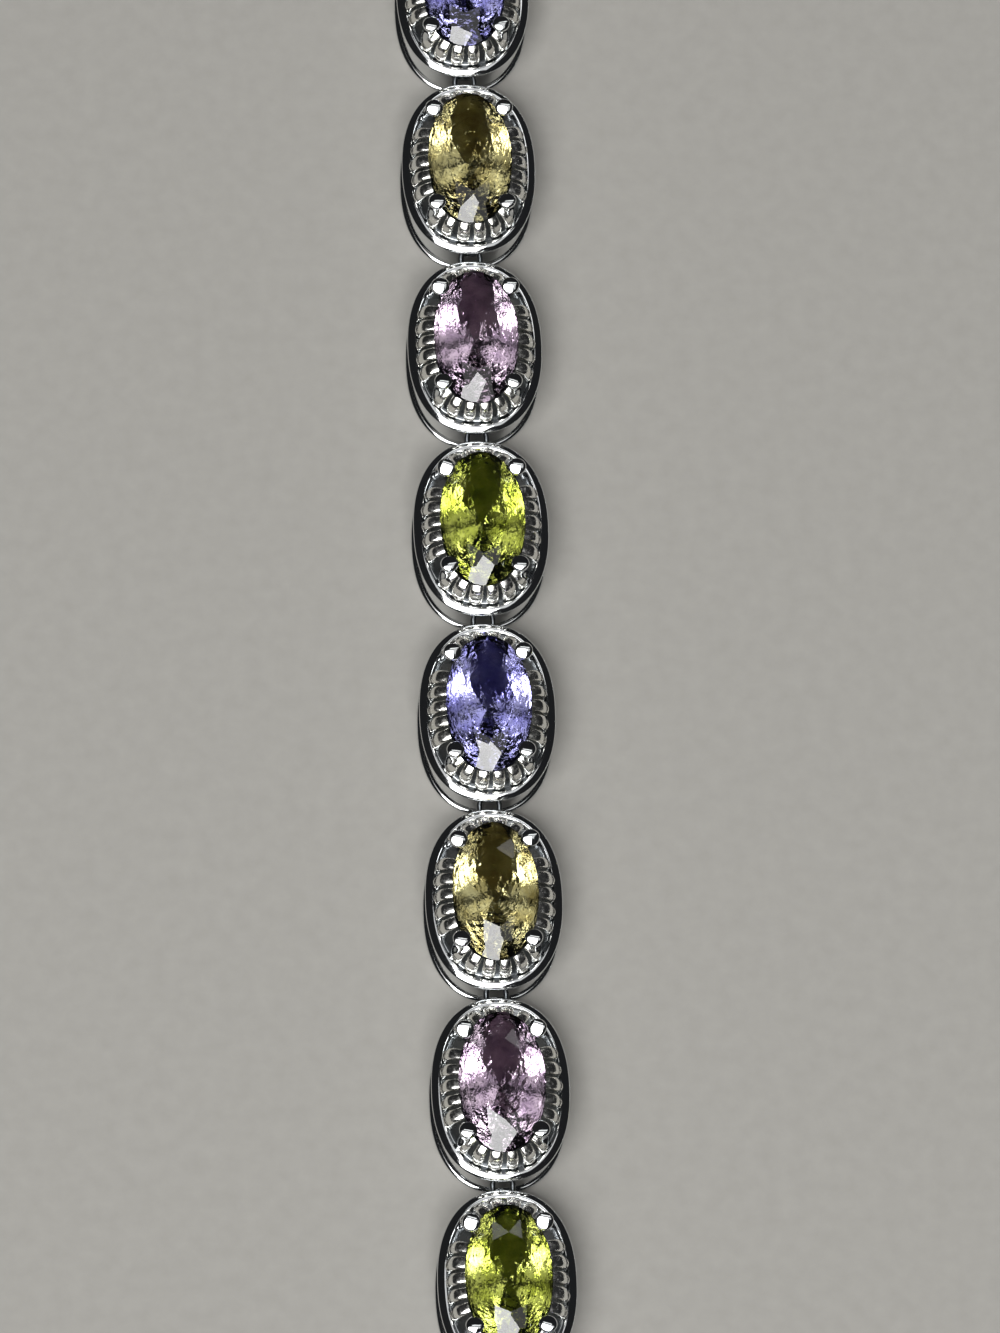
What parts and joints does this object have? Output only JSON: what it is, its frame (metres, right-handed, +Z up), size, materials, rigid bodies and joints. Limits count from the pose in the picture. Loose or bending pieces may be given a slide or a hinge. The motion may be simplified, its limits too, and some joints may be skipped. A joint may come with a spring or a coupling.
{
  "type": "tennis bracelet",
  "caption": "Tennis bracelet of oval open-backed cup links with ribbed halos, claw-set oval stones in pale colours, wire-loop joints and a plain box clasp, lying flat as a closed loop.",
  "frame": {"origin": "middle of the closed loop's bounding box, on the surface that it lies on", "axes": "+Z up through the stones, +Y along the straight stretch from link 8 to link 1, +X from the straight stretch to the clasp on the far side"},
  "size_m": [0.0408, 0.0802, 0.0033],
  "materials": {
    "link_metal": "mirror polish",
    "clasp_metal": "mirror polish",
    "violet_stone": "polished facets",
    "peach_stone": "polished facets",
    "pink_stone": "polished facets",
    "green_stone": "polished facets"
  },
  "bodies": {
    "root": {"clasp": "clasp_metal", "link_01": "link_metal", "stone_01_violet": "violet_stone", "link_02": "link_metal", "stone_02_peach": "peach_stone", "link_03": "link_metal", "stone_03_pink": "pink_stone", "link_04": "link_metal", "stone_04_green": "green_stone", "link_05": "link_metal", "stone_05_violet": "violet_stone", "link_06": "link_metal", "stone_06_peach": "peach_stone", "link_07": "link_metal", "stone_07_pink": "pink_stone", "link_08": "link_metal", "stone_08_green": "green_stone", "link_09": "link_metal", "stone_09_violet": "violet_stone", "link_10": "link_metal", "stone_10_peach": "peach_stone", "link_11": "link_metal", "stone_11_pink": "pink_stone", "link_12": "link_metal", "stone_12_green": "green_stone", "link_13": "link_metal", "stone_13_violet": "violet_stone", "link_14": "link_metal", "stone_14_peach": "peach_stone", "link_15": "link_metal", "stone_15_pink": "pink_stone", "link_16": "link_metal", "stone_16_green": "green_stone", "link_17": "link_metal", "stone_17_violet": "violet_stone", "link_18": "link_metal", "stone_18_peach": "peach_stone", "link_19": "link_metal", "stone_19_pink": "pink_stone", "link_20": "link_metal", "stone_20_green": "green_stone", "link_21": "link_metal", "stone_21_violet": "violet_stone", "link_22": "link_metal", "stone_22_peach": "peach_stone", "link_23": "link_metal", "stone_23_pink": "pink_stone", "link_24": "link_metal", "stone_24_green": "green_stone", "link_25": "link_metal", "stone_25_violet": "violet_stone", "link_26": "link_metal", "stone_26_peach": "peach_stone"}
  },
  "joints": []
}
